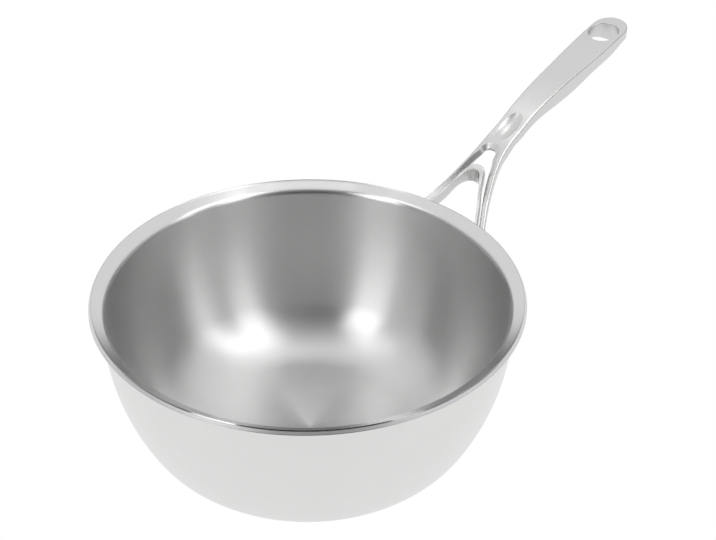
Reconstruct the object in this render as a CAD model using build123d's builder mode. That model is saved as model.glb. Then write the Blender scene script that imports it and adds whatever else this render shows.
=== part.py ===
# Saucier pan: a deep, round-bottomed clad pan with a flared pouring lip and one long cast handle.
# The handle forks into two legs, with a smaller V-shaped brace standing between them, and its
# two feet are welded to the outside of the wall, so nothing passes through into the bowl.
# Millimetres. The origin is the centre of the base's underside, +Z is up, and the handle lies along +X.
import os
from math import asin, cos, radians, sin, sqrt

from build123d import *

os.makedirs("parts", exist_ok=True)

# Bowl
pan_height = 108.0
wall_radius = 121.1
base_radius = 62.5
straight_depth = 14.0
shoulder_angle = 27.0
lip_reach = 6.9
lip_bend_radius = 1.6
lip_slope = 28.0
edge_round = 0.25

# Bonded plies, from the cooking surface outwards
cooking_skin = 0.5
inner_bond = 0.3
core_thickness = 1.2
outer_bond = 0.3
magnetic_skin = 0.5

# Handle, measured from the wall: its length, how far its top rises over the rim at the tip and
# drops under it at the feet, the widths of its grip and neck, and the depth and half width that
# its round belly is drawn from
handle_length = 207.4
handle_rise = 62.9
foot_drop = 34.0
grip_half_width = 12.7
neck_half_width = 9.3
grip_depth = 18.2
belly_half_width = 14.1
top_round = 1.4

# Fork: reach of its crotch from the wall, spread of its legs, and the slant of their inner tops
crotch_reach = 60.0
crotch_half_width = 4.4
crotch_round = 3.5
fork_half_spread = 43.6
leg_thickness = 4.8
slant_width = 2.9
slant_depth = 1.5

# Hanging hole through the grip's round end, and the thumb dish in the neck
hole_radius = 10.75
hole_setback = 19.8
hole_edge_round = 0.3
dish_reach = 78.0
dish_length = 24.4
dish_width = 12.2
dish_depth = 1.7

# V-shaped brace between the legs
brace_reach = 47.6
brace_half_spread = 37.0
brace_thickness = 2.7
brace_crest_width = 5.3
brace_rise = 12.4
brace_drop = 30.5
brace_depth = 10.0
brace_slant_width = 1.0
brace_slant_depth = 2.2

# Feet and the weld beads around them
foot_half_spread = 38.5
foot_depth = 36.0
foot_width = 21.0
foot_height = 21.0
foot_corner = 4.0
foot_thickness = 3.0
foot_round = 1.0
bead_width = 1.8
bead_height = 1.6
bead_round = 1.1

# Overrun of the solids that are trimmed afterwards, how closely a place on a curve is found, and
# how far a face's normal rises if the face counts as a top
overrun = 10.0
place_tolerance = 1e-6
top_tilt = 0.5

# Bowl geometry worked out from the sizes above: a side arc from the straight top of the wall,
# then a tighter knuckle arc that meets the flat base
wall_thickness = cooking_skin + inner_bond + core_thickness + outer_bond + magnetic_skin
lip_turn = 90 - lip_slope
lip_cos = cos(radians(lip_slope))
lip_sin = sin(radians(lip_slope))
turn_cos = cos(radians(lip_turn))
turn_sin = sin(radians(lip_turn))
lip_length = (lip_reach - lip_bend_radius * (1 - turn_cos)) / lip_cos
bend_base = pan_height - lip_length * lip_sin - (lip_bend_radius + wall_thickness) * turn_sin
straight_base = pan_height - straight_depth
shoulder_cos = cos(radians(shoulder_angle))
shoulder_sin = sin(radians(shoulder_angle))
side_arc_radius = (straight_base * shoulder_cos - (wall_radius - base_radius) * (1 - shoulder_sin)) / (
    shoulder_sin + shoulder_cos - 1
)
knuckle_radius = (straight_base - side_arc_radius * shoulder_sin) / (1 - shoulder_sin)


def wall_line(depth):
    """The points and arc middles of the wall's profile, at a depth under its outer surface."""
    knuckle = knuckle_radius - depth
    side = side_arc_radius - depth
    bend = lip_bend_radius + depth
    side_centre = wall_radius - side_arc_radius
    bend_centre = wall_radius + lip_bend_radius
    middle = radians((90 + shoulder_angle) / 2)
    half_shoulder = radians(shoulder_angle / 2)
    half_turn = radians(lip_turn / 2)
    lip_start = (bend_centre - bend * turn_cos, bend_base + bend * turn_sin)
    return {
        "axis": (0, depth),
        "flat": (base_radius, depth),
        "knuckle": (base_radius + knuckle * cos(middle), knuckle_radius - knuckle * sin(middle)),
        "shoulder": (base_radius + knuckle * shoulder_cos, knuckle_radius - knuckle * shoulder_sin),
        "side": (side_centre + side * cos(half_shoulder), straight_base - side * sin(half_shoulder)),
        "straight": (wall_radius - depth, straight_base),
        "bend": (wall_radius - depth, bend_base),
        "turn": (bend_centre - bend * cos(half_turn), bend_base + bend * sin(half_turn)),
        "lip": lip_start,
        "edge": (lip_start[0] + lip_length * lip_cos, lip_start[1] + lip_length * lip_sin),
    }


def draw_wall(line):
    """Draws one surface's profile from the pan's axis out to the lip's edge."""
    Line(line["axis"], line["flat"])
    ThreePointArc(line["flat"], line["knuckle"], line["shoulder"])
    ThreePointArc(line["shoulder"], line["side"], line["straight"])
    Line(line["straight"], line["bend"])
    ThreePointArc(line["bend"], line["turn"], line["lip"])
    Line(line["lip"], line["edge"])


def ply_outline(outer_depth, inner_depth):
    """The outline of one ply's half section, between two depths under the wall's outer surface."""
    outer = wall_line(outer_depth)
    inner = wall_line(inner_depth)
    with BuildLine() as outline:
        draw_wall(outer)
        draw_wall(inner)
        Line(outer["axis"], inner["axis"])
        Line(outer["edge"], inner["edge"])
    return outline.edges()


# Outer skin of magnetic steel, with the lip's lower edge broken
with BuildPart() as outer_skin:
    with BuildSketch(Plane.XZ) as section:
        make_face(ply_outline(0, magnetic_skin))
        fillet(section.vertices().sort_by(Axis.X)[-1], radius=edge_round)
    revolve(axis=Axis.Z)
outer_skin.part.label = "outer_skin"
export_step(outer_skin.part, "parts/outer_skin.step")

# Aluminium core with its two alloy bonding plies
depth = magnetic_skin
core_plies = (("outer_bond_ply", outer_bond), ("aluminium_core", core_thickness), ("inner_bond_ply", inner_bond))
for name, thickness in core_plies:
    with BuildPart() as ply:
        with BuildSketch(Plane.XZ):
            make_face(ply_outline(depth, depth + thickness))
        revolve(axis=Axis.Z)
    ply.part.label = name
    export_step(ply.part, f"parts/{name}.step")
    depth = depth + thickness

# Cooking skin of stainless steel, with the lip's upper edge broken
with BuildPart() as cooking_liner:
    with BuildSketch(Plane.XZ) as section:
        make_face(ply_outline(depth, wall_thickness))
        fillet(section.vertices().sort_by(Axis.Y)[-1], radius=edge_round)
    revolve(axis=Axis.Z)
cooking_liner.part.label = "cooking_liner"
export_step(cooking_liner.part, "parts/cooking_liner.step")

# The space inside the wall's outer surface, which trims everything that is welded to it
outer_line = wall_line(0)
lip_corner = outer_line["edge"]
with BuildPart() as wall_space:
    with BuildSketch(Plane.XZ):
        with BuildLine():
            draw_wall(outer_line)
            Line(lip_corner, (0, lip_corner[1]))
            Line((0, lip_corner[1]), outer_line["axis"])
        make_face()
    revolve(axis=Axis.Z)

# Handle in plan, from a foot to the tip. Leg places are shares of the crotch's reach and grip
# places shares of the handle's length. Widths are shares of the spread or swell beyond the neck.
leg_place_shares = (-0.15, 0.148, 0.478, 0.727, 0.86, 0.96)
leg_spread_shares = (1.0, 0.673, 0.335, 0.143, 0.071, 0.034)
leg_thickness_shares = (1.0, 1.0, 0.98, 1.09, 1.17)
grip_place_shares = (0.361, 0.458, 0.556, 0.653, 0.751, 0.849)
grip_swell_shares = (0.0, 0.06, 0.33, 0.55, 0.85, 1.03)

# Its side profile at stations along its length: the top's rise from the feet to the tip, the depth
# of its sides, and the sag and half width of the arch under them. The arch hangs down as a round
# belly under the grip, and is hollowed upwards between the legs.
station_shares = (
    -0.1, -0.044, 0.024, 0.091, 0.159, 0.226, 0.289, 0.327, 0.366, 0.419, 0.486, 0.573, 0.67, 0.776, 0.892, 1.017
)
rise_shares = (
    -0.098, -0.016, 0.098, 0.221, 0.344, 0.464, 0.554, 0.597, 0.631, 0.685, 0.742, 0.798, 0.847, 0.896, 0.951, 1.004
)
side_shares = (
    0.632, 0.621, 0.599, 0.577, 0.538, 0.511, 0.473, 0.374, 0.137, 0.176, 0.203, 0.313, 0.346, 0.225, 0.187, 0.181
)
sag_shares = (
    -1.385, -1.22, -0.995, -0.797, -0.588, -0.412, -0.319, 0.121, 0.538, 0.542, 0.571, 0.615, 0.654, 0.703, 0.72, 0.72
)
arch_shares = (
    3.674, 3.184, 2.574, 1.957, 1.418, 1.025, 0.801, 0.759, 0.752, 0.752, 0.794, 0.851, 0.908, 0.979, 1.0, 1.0
)

# The brace in plan and in its side profile, as shares of its reach, spread, rise and depth
brace_place_shares = (-0.17, 0.187, 0.397, 0.607, 0.817)
brace_spread_shares = (1.0, 0.727, 0.56, 0.403, 0.238)
brace_thickness_shares = (0.85, 0.85, 0.97, 1.07, 1.22)
brace_station_shares = (-0.34, 0.187, 0.397, 0.607, 0.786, 0.9, 1.05)
brace_rise_shares = (-0.128, 0.291, 0.471, 0.664, 0.874, 0.958, 1.0)
brace_depth_shares = (0.75, 0.73, 0.71, 0.66, 0.7, 0.95, 1.08)


def plan_points(places, reach, widths):
    """Points in plan at shares of a reach from the wall, with their distances from the mid-plane."""
    return [(wall_radius + place * reach, width) for place, width in zip(places, widths)]


def profile_points(places, reach, rises, drop, total):
    """Points of a side profile: shares of a reach from the wall, and of a rise from the feet."""
    foot_level = pan_height - drop
    return [(wall_radius + place * reach, foot_level + rise * total) for place, rise in zip(places, rises)]


def draw_both_sides(points, end, end_direction):
    """Draws a curve from the foot to its end point, and its mirror image across the mid-plane."""
    first = Vector(points[0])
    second = Vector(points[1])
    Spline(*points, end, tangents=[second - first, end_direction])
    mirrored = [(x, -y) for x, y in points]
    turn = Vector(second.X - first.X, first.Y - second.Y)
    Spline(*mirrored, (end[0], -end[1]), tangents=[turn, (end_direction[0], -end_direction[1])])
    Line(points[0], mirrored[0])


def draw_under(points, level):
    """Draws a curve and closes it down to a level, as the region under a top line."""
    Spline(*points)
    Line(points[-1], (points[-1][0], level))
    Line((points[-1][0], level), (points[0][0], level))
    Line((points[0][0], level), points[0])


def top_place(distance):
    """The handle's top line at a distance from the pan's axis: its point, direction and normal."""
    low, high = 0.0, 1.0
    while high - low > place_tolerance:
        middle = (low + high) / 2
        if (top_line @ middle).X < distance:
            low = middle
        else:
            high = middle
    direction = top_line % low
    return top_line @ low, direction, Vector(-direction.Z, 0, direction.X)


def largest_top(shape):
    """The largest face that looks up."""
    return shape.faces().filter_by(lambda face: face.normal_at().Z > top_tilt).sort_by(SortBy.AREA)[-1]


def in_fork(edge):
    """Whether an edge of the top face runs round the inside of the fork."""
    return foot_end + place_tolerance < edge.center().X < crotch + place_tolerance


def draw_gap(points, end, corner):
    """Draws the fork's gap: a curve up each leg, and a crotch with round corners."""
    heading = Vector(points[1]) - Vector(points[0])
    last = points[-1]
    chord = corner * sqrt(0.5)
    for side in (1, -1):
        line = [(x, side * y) for x, y in points]
        Spline(*line, tangents=[(heading.X, side * heading.Y), (1, 0)])
        middle = (last[0] + chord, side * (last[1] - corner + chord))
        ThreePointArc(line[-1], middle, (end, side * (last[1] - corner)))
    Line((end, last[1] - corner), (end, corner - last[1]))
    Line(points[0], (points[0][0], -points[0][1]))


def draw_band(tops, bottoms):
    """Draws the band between a top curve and a bottom curve of a side profile."""
    Spline(*tops)
    Spline(*bottoms)
    Line(tops[0], bottoms[0])
    Line(tops[-1], bottoms[-1])


top_points = profile_points(station_shares, handle_length, rise_shares, foot_drop, handle_rise + foot_drop)
with BuildLine(Plane.XZ):
    top_line = Spline(*top_points)
brace_tops = profile_points(
    brace_station_shares, brace_reach, brace_rise_shares, brace_drop, brace_rise + brace_drop
)
brace_bottoms = [(x, z - share * brace_depth) for (x, z), share in zip(brace_tops, brace_depth_shares)]
spread = fork_half_spread - neck_half_width
swell = grip_half_width - neck_half_width
leg_widths = [neck_half_width + share * spread for share in leg_spread_shares]
grip_widths = [neck_half_width + share * swell for share in grip_swell_shares]
gap_widths = [width - share * leg_thickness for width, share in zip(leg_widths, leg_thickness_shares)]
brace_widths = [share * brace_half_spread for share in brace_spread_shares]
slot_widths = [
    width - share * brace_thickness for width, share in zip(brace_widths, brace_thickness_shares)
]
leg_points = plan_points(leg_place_shares, crotch_reach, leg_widths)
grip_points = plan_points(grip_place_shares, handle_length, grip_widths)
gap_points = plan_points(leg_place_shares, crotch_reach, gap_widths)
gap_points.append((wall_radius + crotch_reach - crotch_round, crotch_half_width))
brace_points = plan_points(brace_place_shares, brace_reach, brace_widths)
slot_points = plan_points(brace_place_shares, brace_reach, slot_widths)
foot_end = gap_points[0][0]
crotch = wall_radius + crotch_reach
crest = wall_radius + brace_reach
tip = wall_radius + handle_length
tip_centre = tip - grip_half_width
under_level = pan_height - foot_drop - grip_depth - overrun
over_level = pan_height + handle_rise + overrun

# Handle blank: its outline in plan, under its curved top
side_reach = 2 * fork_half_spread
with BuildPart() as fork:
    with BuildSketch(Plane.XY.offset(under_level)):
        with BuildLine():
            draw_both_sides(leg_points + grip_points, (tip_centre, grip_half_width), (1, 0))
            ThreePointArc((tip_centre, grip_half_width), (tip, 0), (tip_centre, -grip_half_width))
        make_face()
    extrude(amount=over_level - under_level)
    with BuildSketch(Plane.XZ.offset(-side_reach)):
        with BuildLine():
            draw_under(top_points, under_level)
        make_face()
    extrude(amount=2 * side_reach, mode=Mode.INTERSECT)

    # Rounded outer edge of the top
    top_face = largest_top(fork)
    fillet(top_face.edges().sort_by(Axis.X)[1:], radius=top_round)

    # The gap of the fork, with the inner tops of the legs slanting down into it
    with BuildSketch(Plane.XY.offset(under_level)):
        with BuildLine():
            draw_gap(gap_points, crotch, crotch_round)
        make_face()
    extrude(amount=over_level - under_level, mode=Mode.SUBTRACT)
    top_face = largest_top(fork)
    chamfer(top_face.edges().filter_by(in_fork), length=slant_width, length2=slant_depth, reference=top_face)

    # Underside, round under the grip and hollowed under the fork
    for point, side, sag, arch in zip(top_points, side_shares, sag_shares, arch_shares):
        width = arch * belly_half_width
        level = point[1] - side * grip_depth
        with BuildSketch(Plane.YZ.offset(point[0])):
            with BuildLine():
                ThreePointArc((-width, level), (0, level - sag * grip_depth), (width, level))
                Line((width, level), (width, under_level - overrun))
                Line((width, under_level - overrun), (-width, under_level - overrun))
                Line((-width, under_level - overrun), (-width, level))
            make_face()
    loft(mode=Mode.SUBTRACT)

    # Thumb dish in the neck, cut by a barrel lying along the top
    point, direction, normal = top_place(wall_radius + dish_reach)
    barrel_radius = dish_width**2 / (8 * dish_depth) + dish_depth / 2
    barrel_lift = barrel_radius - dish_depth
    with BuildSketch(Plane(point + normal * barrel_lift, direction, Vector(0, -1, 0))):
        with BuildLine():
            Line((-dish_length / 2, -barrel_lift), (-dish_length / 2, 0))
            Line((-dish_length / 2, 0), (dish_length / 2, 0))
            Line((dish_length / 2, 0), (dish_length / 2, -barrel_lift))
            ThreePointArc((dish_length / 2, -barrel_lift), (0, -barrel_radius), (-dish_length / 2, -barrel_lift))
        make_face()
    revolve(axis=Axis(point + normal * barrel_lift, direction), mode=Mode.SUBTRACT)

    # Hanging hole, square to the top
    point, direction, normal = top_place(tip - hole_setback)
    with BuildSketch(Plane(point, direction, normal)):
        Circle(hole_radius)
    extrude(amount=2 * grip_depth, both=True, mode=Mode.SUBTRACT)
    fillet(fork.edges(Select.LAST), radius=hole_edge_round)

# The brace, drawn in plan as one V outline inside another, under its own top line
with BuildPart() as brace:
    with BuildSketch(Plane.XY.offset(under_level)):
        with BuildLine():
            draw_both_sides(brace_points, (crest, 0), (0, -1))
        make_face()
        with BuildLine():
            draw_both_sides(slot_points, (crest - brace_crest_width, 0), (0, -1))
        make_face(mode=Mode.SUBTRACT)
    extrude(amount=over_level - under_level)
    with BuildSketch(Plane.XZ.offset(-side_reach)):
        with BuildLine():
            draw_band(brace_tops, brace_bottoms)
        make_face()
    extrude(amount=2 * side_reach, mode=Mode.INTERSECT)
    brace_top = largest_top(brace)
    outer_edge = brace_top.edges().sort_by(SortBy.LENGTH)[-1]
    chamfer(outer_edge, length=brace_slant_width, length2=brace_slant_depth, reference=brace_top)

# Feet square to the wall, where the legs and the brace's arms come together
foot_tilt = asin((foot_depth - straight_depth) / side_arc_radius)
foot_radius = wall_radius - side_arc_radius * (1 - cos(foot_tilt))
foot_turn = asin(foot_half_spread / foot_radius)
foot_planes = []
for side in (1, -1):
    outward = Vector(cos(foot_turn), side * sin(foot_turn))
    foot_planes.append(
        Plane(
            origin=(foot_radius * outward.X, foot_radius * outward.Y, pan_height - foot_depth),
            x_dir=(-outward.Y, outward.X, 0),
            z_dir=(outward.X * cos(foot_tilt), outward.Y * cos(foot_tilt), -sin(foot_tilt)),
        )
    )
with BuildPart() as feet:
    with BuildSketch(*[plane.offset(-overrun) for plane in foot_planes]):
        RectangleRounded(foot_width, foot_height, foot_corner)
    extrude(amount=overrun + foot_thickness)
    for plane in foot_planes:
        pad_face = feet.faces().sort_by_distance(plane.offset(foot_thickness).origin)[0]
        fillet(pad_face.edges(), radius=foot_round)

with BuildPart() as handle:
    add(fork.part)
    add(brace.part)
    add(feet.part)
    add(wall_space.part, mode=Mode.SUBTRACT)
handle.part.label = "handle"
export_step(handle.part, "parts/handle.step")

# Weld beads round the feet, one on each side
for name, plane in zip(("left_weld_bead", "right_weld_bead"), foot_planes):
    with BuildPart() as bead:
        with BuildSketch(plane.offset(-overrun)):
            RectangleRounded(foot_width + 2 * bead_width, foot_height + 2 * bead_width, foot_corner + bead_width)
        extrude(amount=overrun + bead_height)
        bead_face = bead.faces().sort_by_distance(plane.offset(bead_height).origin)[0]
        fillet(bead_face.edges(), radius=bead_round)
        add(handle.part, mode=Mode.SUBTRACT)
        add(wall_space.part, mode=Mode.SUBTRACT)
    bead.part.label = name
    export_step(bead.part, f"parts/{name}.step")
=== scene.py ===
from math import atan2, cos, pi, radians, sin

import bmesh
import bpy
from mathutils import Matrix, Vector


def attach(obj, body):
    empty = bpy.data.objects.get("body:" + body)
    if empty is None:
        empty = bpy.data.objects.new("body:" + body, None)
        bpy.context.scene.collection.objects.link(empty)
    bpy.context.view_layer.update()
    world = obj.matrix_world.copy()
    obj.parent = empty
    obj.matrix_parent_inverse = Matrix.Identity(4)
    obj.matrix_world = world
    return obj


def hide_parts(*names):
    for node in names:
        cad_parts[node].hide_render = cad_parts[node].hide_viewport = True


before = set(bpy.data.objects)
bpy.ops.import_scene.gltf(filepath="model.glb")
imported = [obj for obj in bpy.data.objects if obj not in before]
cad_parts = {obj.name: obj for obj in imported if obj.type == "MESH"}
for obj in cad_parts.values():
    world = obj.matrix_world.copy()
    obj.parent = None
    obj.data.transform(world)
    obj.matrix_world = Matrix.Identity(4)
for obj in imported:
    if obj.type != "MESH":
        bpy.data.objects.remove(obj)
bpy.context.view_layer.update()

# Bowl sizes, as in the part
pan_height = 0.108
rim_radius = 0.128
wall_radius = 0.1211
base_radius = 0.0625
straight_depth = 0.014
shoulder_angle = radians(27)
lip_bend_radius = 0.0016
lip_slope = radians(28)
edge_round = 0.00025
ply_depths = (0, 0.0005, 0.0008, 0.002, 0.0023, 0.0028)
wall_thickness = ply_depths[-1]

# How finely the bowl is turned: steps round the axis and along each arc of its section, and the
# shares of the flat base and of the lip at which the straight stretches have points
turns = 360
arc_steps = 40
bend_steps = 20
corner_steps = 6
base_shares = (0, 0.02, 0.06, 0.15, 0.3, 0.5, 0.75)
lip_shares = (0.25, 0.5, 0.75, 1)
sharp_angle = radians(30)

# Finishes: noise scales per metre, how far the tint strays, and where most of the noise lies
patch_scale = 35.0
patch_detail = 3.0
grain_detail = 2.0
turned_line_scale = 2500
cast_grain_scale = 1400
tint_spread = 0.03
noise_low, noise_high = 0.6, 1.4
bump_height = 0.0001
turned_relief = 0.012
around_the_axis = 0.25


def wall_profile(depth):
    """Points of the wall's profile at a depth under its outer surface, from the axis to the lip."""
    straight_base = pan_height - straight_depth
    side_arc = (
        straight_base * cos(shoulder_angle)
        - (wall_radius - base_radius) * (1 - sin(shoulder_angle))
    ) / (sin(shoulder_angle) + cos(shoulder_angle) - 1)
    knuckle = (straight_base - side_arc * sin(shoulder_angle)) / (1 - sin(shoulder_angle))
    turn = pi / 2 - lip_slope
    lip_length = (rim_radius - wall_radius - lip_bend_radius * (1 - cos(turn))) / cos(lip_slope)
    bend_reach = (lip_bend_radius + wall_thickness) * sin(turn)
    bend_base = pan_height - lip_length * sin(lip_slope) - bend_reach
    points = [(base_radius * share, depth) for share in base_shares]
    for step in range(arc_steps + 1):
        angle = pi / 2 - (pi / 2 - shoulder_angle) * step / arc_steps
        radius = knuckle - depth
        points.append((base_radius + radius * cos(angle), knuckle - radius * sin(angle)))
    side_centre = wall_radius - side_arc
    for step in range(1, arc_steps + 1):
        angle = shoulder_angle * (1 - step / arc_steps)
        radius = side_arc - depth
        points.append((side_centre + radius * cos(angle), straight_base - radius * sin(angle)))
    bend_centre = wall_radius + lip_bend_radius
    for step in range(bend_steps + 1):
        angle = turn * step / bend_steps
        radius = lip_bend_radius + depth
        points.append((bend_centre - radius * cos(angle), bend_base + radius * sin(angle)))
    end = points[-1]
    for share in lip_shares:
        reach = share * lip_length
        points.append((end[0] + reach * cos(lip_slope), end[1] + reach * sin(lip_slope)))
    return points


def round_corner(corner, towards, away):
    """Points of a quarter round on an edge, met along one direction and left along another."""
    centre = corner - edge_round * towards + edge_round * away
    points = []
    for step in range(corner_steps + 1):
        angle = pi / 2 * step / corner_steps
        back = edge_round * cos(angle) * away
        points.append(tuple(centre - back + edge_round * sin(angle) * towards))
    return points


def ply_loop(outer_depth, inner_depth):
    """One ply's closed section, with the lip's outermost corner and topmost corner broken."""
    outer = wall_profile(outer_depth)
    inner = wall_profile(inner_depth)
    along = Vector((cos(lip_slope), sin(lip_slope)))
    across = Vector((-sin(lip_slope), cos(lip_slope)))
    if outer_depth == 0:
        outer = outer[:-1] + round_corner(Vector(outer[-1]), along, across)
    if inner_depth == wall_thickness:
        inner = inner[:-1] + list(reversed(round_corner(Vector(inner[-1]), -across, -along)))
    return outer + list(reversed(inner))


def lathe(name, loop):
    """Turns a section, whose first and last points lie on the axis, into a closed mesh."""
    mesh = bpy.data.meshes.new(name)
    build = bmesh.new()
    rings = []
    for radius, height in loop:
        if radius == 0:
            rings.append([build.verts.new((0, 0, height))])
            continue
        ring = []
        for step in range(turns):
            angle = 2 * pi * step / turns
            ring.append(build.verts.new((radius * cos(angle), radius * sin(angle), height)))
        rings.append(ring)
    for near, far in zip(rings, rings[1:]):
        for step in range(turns):
            after = (step + 1) % turns
            if len(near) == 1:
                build.faces.new((near[0], far[after], far[step]))
            elif len(far) == 1:
                build.faces.new((near[step], near[after], far[0]))
            else:
                build.faces.new((near[step], near[after], far[after], far[step]))
    bmesh.ops.recalc_face_normals(build, faces=build.faces)
    build.to_mesh(mesh)
    build.free()
    mesh.shade_smooth()
    mesh.set_sharp_from_angle(angle=sharp_angle)
    piece = bpy.data.objects.new(name, mesh)
    bpy.context.scene.collection.objects.link(piece)
    return piece


def add(tree, kind, inputs=None, **settings):
    """Adds a shader node with its settings, and gives each input a value or a link to a socket."""
    node = tree.nodes.new(f"ShaderNode{kind}")
    for name, value in settings.items():
        setattr(node, name, value)
    for key, value in (inputs or {}).items():
        if isinstance(value, bpy.types.NodeSocket):
            tree.links.new(value, node.inputs[key])
        else:
            node.inputs[key].default_value = value
    return node


def bare_metal(name, colour, anisotropy):
    """A metal with its colour, the pull of its grain and the broad unevenness of a worked surface.

    Returns the material, its shader, the place on the pan and the noise of the patches.
    """
    material = bpy.data.materials.new(name)
    material.use_nodes = True
    tree = material.node_tree
    shader = tree.nodes["Principled BSDF"]
    shader.inputs["Metallic"].default_value = 1.0
    shader.inputs["Anisotropic"].default_value = anisotropy
    place = add(tree, "TexCoord").outputs["Object"]
    noise = {"Vector": place, "Scale": patch_scale, "Detail": patch_detail}
    patches = add(tree, "TexNoise", noise).outputs["Fac"]
    darker = (*[(1 - tint_spread) * part for part in colour], 1)
    lighter = (*[(1 + tint_spread) * part for part in colour], 1)
    shades = {"A": darker, "B": lighter, "Factor": patches}
    tint = add(tree, "Mix", shades, data_type="RGBA")
    tree.links.new(tint.outputs["Result"], shader.inputs["Base Color"])
    return material, shader, place, patches


def finish_grain(tree, shader, patches, lines, roughness, wear, relief):
    """Cuts a grain of noise along the given coordinates, and ties gloss and bump to it.

    Returns the roughness that it linked to the shader.
    """
    noise = {"Vector": lines, "Scale": 1.0, "Detail": grain_detail}
    grain = add(tree, "TexNoise", noise).outputs["Fac"]
    both = add(tree, "Math", {0: grain, 1: patches}, operation="ADD")
    spread = {
        "Value": both.outputs[0],
        "From Min": noise_low,
        "From Max": noise_high,
        "To Min": roughness - wear,
        "To Max": roughness + wear,
    }
    gloss = add(tree, "MapRange", spread).outputs[0]
    tree.links.new(gloss, shader.inputs["Roughness"])
    bump = add(tree, "Bump", {"Strength": relief, "Distance": bump_height, "Height": grain})
    tree.links.new(bump.outputs[0], shader.inputs["Normal"])
    return gloss


def turned_metal(name, colour, roughness, anisotropy, wear, lip_polish=0.0):
    """A metal finished on a lathe: its fine lines run round the pan's axis.

    lip_polish is how much less rough the flared lip is than the rest.
    """
    material, shader, place, patches = bare_metal(name, colour, anisotropy)
    tree = material.node_tree
    split = add(tree, "SeparateXYZ", {0: place}).outputs
    flat = add(tree, "CombineXYZ", {"X": split["X"], "Y": split["Y"]}).outputs[0]
    around = add(tree, "VectorMath", {0: flat}, operation="NORMALIZE").outputs[0]
    radius = add(tree, "VectorMath", {0: flat}, operation="LENGTH").outputs["Value"]
    # Height and radius both grow along the profile, so their sum tells how far along it a place is
    along = add(tree, "Math", {0: split["Z"], 1: radius}, operation="ADD").outputs[0]
    stretch = add(tree, "Math", {0: along, 1: turned_line_scale}, operation="MULTIPLY").outputs[0]
    heading = add(tree, "SeparateXYZ", {0: around}).outputs
    lines = add(tree, "CombineXYZ", {"X": heading["X"], "Y": heading["Y"], "Z": stretch}).outputs[0]
    gloss = finish_grain(tree, shader, patches, lines, roughness, wear, turned_relief)
    if lip_polish > 0:
        # The lip begins where the wall bends outwards
        bend = {
            "Value": radius,
            "From Min": wall_radius - wall_thickness,
            "From Max": wall_radius,
            "To Min": 1,
            "To Max": 1 - lip_polish,
        }
        lip = add(tree, "MapRange", bend, interpolation_type="SMOOTHSTEP").outputs[0]
        polished = add(tree, "Math", {0: gloss, 1: lip}, operation="MULTIPLY")
        tree.links.new(polished.outputs[0], shader.inputs["Roughness"])
    tangent = add(tree, "Tangent", direction_type="RADIAL", axis="Z")
    tree.links.new(tangent.outputs[0], shader.inputs["Tangent"])
    shader.inputs["Anisotropic Rotation"].default_value = around_the_axis
    return material


def cast_metal(name, colour, roughness, wear, relief):
    """A casting or weld with an even satin finish: a fine grain with no direction."""
    material, shader, place, patches = bare_metal(name, colour, 0.0)
    tree = material.node_tree
    scaled = {0: place, "Scale": cast_grain_scale}
    fine = add(tree, "VectorMath", scaled, operation="SCALE").outputs[0]
    finish_grain(tree, shader, patches, fine, roughness, wear, relief)
    return material


def dress(piece, material):
    """Gives a piece one material."""
    piece.data.materials.clear()
    piece.data.materials.append(material)


outer_steel = turned_metal(
    "satin_outer_steel", (0.74, 0.74, 0.735), roughness=0.3, anisotropy=0.3, wear=0.03
)
cooking_steel = turned_metal(
    "brushed_cooking_steel",
    (0.69, 0.69, 0.688),
    roughness=0.32,
    anisotropy=0.91,
    wear=0.03,
    lip_polish=0.5,
)
core_metal = turned_metal(
    "core_aluminium", (0.8, 0.8, 0.81), roughness=0.45, anisotropy=0.0, wear=0.05
)
bond_metal = turned_metal(
    "bond_aluminium", (0.72, 0.72, 0.74), roughness=0.45, anisotropy=0.0, wear=0.05
)
cast_steel = cast_metal(
    "satin_cast_steel", (0.65, 0.65, 0.647), roughness=0.29, wear=0.02, relief=0.006
)
weld_steel = cast_metal("weld_steel", (0.7, 0.7, 0.69), roughness=0.35, wear=0.08, relief=0.08)

plies = (
    ("outer_skin", "satin_outer_steel", outer_steel),
    ("outer_bond_ply", "bond_aluminium", bond_metal),
    ("aluminium_core", "core_aluminium", core_metal),
    ("inner_bond_ply", "bond_aluminium", bond_metal),
    ("cooking_liner", "brushed_cooking_steel", cooking_steel),
)
for (node, slot, material), outer_depth, inner_depth in zip(plies, ply_depths, ply_depths[1:]):
    turned = lathe(f"turned_{node}", ply_loop(outer_depth, inner_depth))
    dress(turned, material)
    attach(turned, "root")
    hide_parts(node)

dress(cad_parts["handle"], cast_steel)
for node in ("left_weld_bead", "right_weld_bead"):
    dress(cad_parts[node], weld_steel)

# Camera, from the photograph: the rim's ellipse gives its height over the rim's centre, its
# distance and its turn round the pan, and the rim's centre stands at this pixel of the picture
picture_width, picture_height = 716, 540
rim_pixel = (308.46, 288.87)
focal_pixels = 1416.8
camera_distance = 6.5 * rim_radius
camera_elevation = radians(34.932)
camera_turn = radians(-47.5)
camera_roll = radians(-0.626)
sensor = 36.0


def seen_from(turn, elevation):
    """The direction from the pan to a place at a turn right of the camera and an elevation."""
    angle = camera_turn - pi / 2 + turn
    return Vector((cos(angle) * cos(elevation), sin(angle) * cos(elevation), sin(elevation)))


def turned_pair(first, second, angle):
    """Two square directions, turned in their own plane, the first towards the second."""
    return (
        first * cos(angle) + second * sin(angle),
        second * cos(angle) - first * sin(angle),
    )


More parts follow.
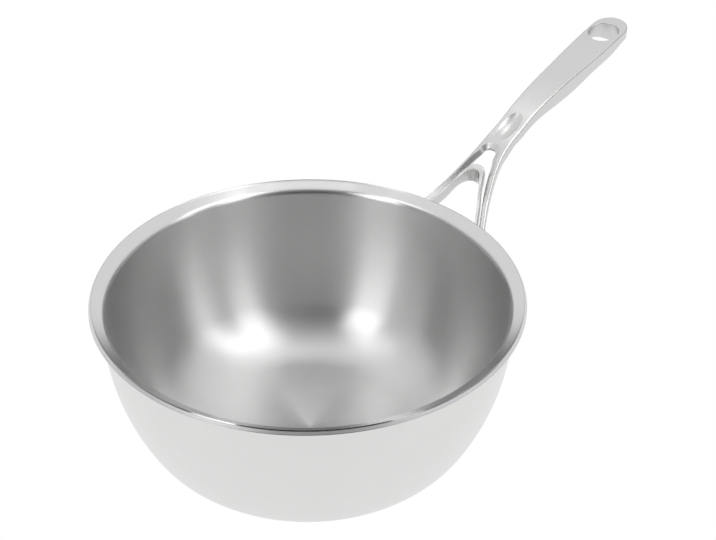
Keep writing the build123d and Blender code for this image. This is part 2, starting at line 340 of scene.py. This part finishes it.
rim_centre = Vector((0, 0, pan_height))
eye = rim_centre + camera_distance * seen_from(0, camera_elevation)
forward = -seen_from(0, camera_elevation)
right = forward.cross(Vector((0, 0, 1))).normalized()
up = right.cross(forward)
swing = atan2(rim_pixel[0] - picture_width / 2, focal_pixels)
nod = atan2(rim_pixel[1] - picture_height / 2, focal_pixels)
right, forward = turned_pair(right, forward, swing)
forward, up = turned_pair(forward, up, nod)
right, up = turned_pair(right, up, camera_roll)
camera_data = bpy.data.cameras.new("camera")
camera_data.sensor_width = sensor
camera_data.lens = focal_pixels * sensor / picture_width
camera = bpy.data.objects.new("camera", camera_data)
camera.matrix_world = Matrix(
    (
        (right.x, up.x, -forward.x, eye.x),
        (right.y, up.y, -forward.y, eye.y),
        (right.z, up.z, -forward.z, eye.z),
        (0, 0, 0, 1),
    )
)
bpy.context.scene.collection.objects.link(camera)
bpy.context.scene.camera = camera

# Floor: pale, and white where the camera or a reflection sees it
floor_reach = 4.0
floor_colour = (0.85, 0.85, 0.85, 1)
floor_roughness = 0.9
white = (1, 1, 1, 1)
floor_mesh = bpy.data.meshes.new("floor")
corners = [(x * floor_reach, y * floor_reach, 0) for x, y in ((-1, -1), (1, -1), (1, 1), (-1, 1))]
floor_mesh.from_pydata(corners, [], [(0, 1, 2, 3)])
floor = bpy.data.objects.new("floor", floor_mesh)
bpy.context.scene.collection.objects.link(floor)
paper = bpy.data.materials.new("paper")
paper.use_nodes = True
tree = paper.node_tree
plain = tree.nodes["Principled BSDF"]
plain.inputs["Base Color"].default_value = floor_colour
plain.inputs["Roughness"].default_value = floor_roughness
glow = add(tree, "Emission", {"Color": white})
rays = add(tree, "LightPath").outputs
seen = add(tree, "Math", {0: rays["Is Camera Ray"], 1: rays["Is Glossy Ray"]}, operation="MAXIMUM")
blend = add(tree, "MixShader", {0: seen.outputs[0], 1: plain.outputs[0], 2: glow.outputs[0]})
tree.links.new(blend.outputs[0], tree.nodes["Material Output"].inputs["Surface"])
floor.data.materials.append(paper)

# World: white behind the pan, and for light and reflections a pale room, which is dim low down and
# on the side from which the pan is looked at
world = bpy.data.worlds.new("studio")
bpy.context.scene.world = world
world.use_nodes = True
tree = world.node_tree
tree.nodes.clear()
heading = add(tree, "TexCoord").outputs["Generated"]


def dimmed(direction, start, end, bright, dim):
    """A level that falls from bright to dim as a heading turns towards a direction.

    start and end are the cosines of the angle to that direction between which it falls.
    """
    facing = add(tree, "VectorMath", {0: heading, 1: direction}, operation="DOT_PRODUCT")
    fall = {
        "Value": facing.outputs["Value"],
        "From Min": start,
        "From Max": end,
        "To Min": bright,
        "To Max": dim,
    }
    return add(tree, "MapRange", fall, interpolation_type="SMOOTHSTEP").outputs[0]


near_side = dimmed(
    seen_from(radians(-8), radians(5)), start=-0.1, end=0.92, bright=0.92, dim=0.03
)
low_down = dimmed((0, 0, -1), start=-0.28, end=-0.1, bright=1, dim=0.1)
level = add(tree, "Math", {0: near_side, 1: low_down}, operation="MULTIPLY")
room = add(tree, "Background", {"Color": level.outputs[0]})
backdrop = add(tree, "Background", {"Color": white})
rays = add(tree, "LightPath").outputs
blend = add(
    tree, "MixShader", {0: rays["Is Camera Ray"], 1: room.outputs[0], 2: backdrop.outputs[0]}
)
add(tree, "OutputWorld", {"Surface": blend.outputs[0]})


def soft_box(name, turn, elevation, distance, width, height, strength):
    """A large soft lamp that faces the rim from a turn right of the camera and an elevation."""
    lamp = bpy.data.lights.new(name, "AREA")
    lamp.shape = "RECTANGLE"
    lamp.size = width
    lamp.size_y = height
    # An area lamp of power p looks as bright as p / (pi * area)
    lamp.energy = strength * pi * width * height
    holder = bpy.data.objects.new(name, lamp)
    direction = seen_from(turn, elevation)
    holder.location = rim_centre + distance * direction
    holder.rotation_euler = direction.to_track_quat("Z", "Y").to_euler()
    bpy.context.scene.collection.objects.link(holder)


# Name, turn and elevation in degrees, distance, width, height and strength
boxes = (
    ("left_box", -44, 32, 1.6, 0.6, 1.3, 2.4),
    ("right_box", 45, 35, 1.6, 0.45, 1.4, 1.6),
    ("side_box", 76, 35, 1.6, 0.35, 1.4, 1.3),
    ("left_top_box", -84, 60, 1.4, 0.45, 0.6, 1.2),
    ("right_top_box", 78, 66, 1.4, 0.6, 0.65, 1.5),
    ("back_box", 180, 67, 1.4, 0.35, 0.5, 1.1),
)
for name, turn, elevation, distance, width, height, strength in boxes:
    soft_box(name, radians(turn), radians(elevation), distance, width, height, strength)

bpy.context.scene.view_settings.view_transform = "Standard"
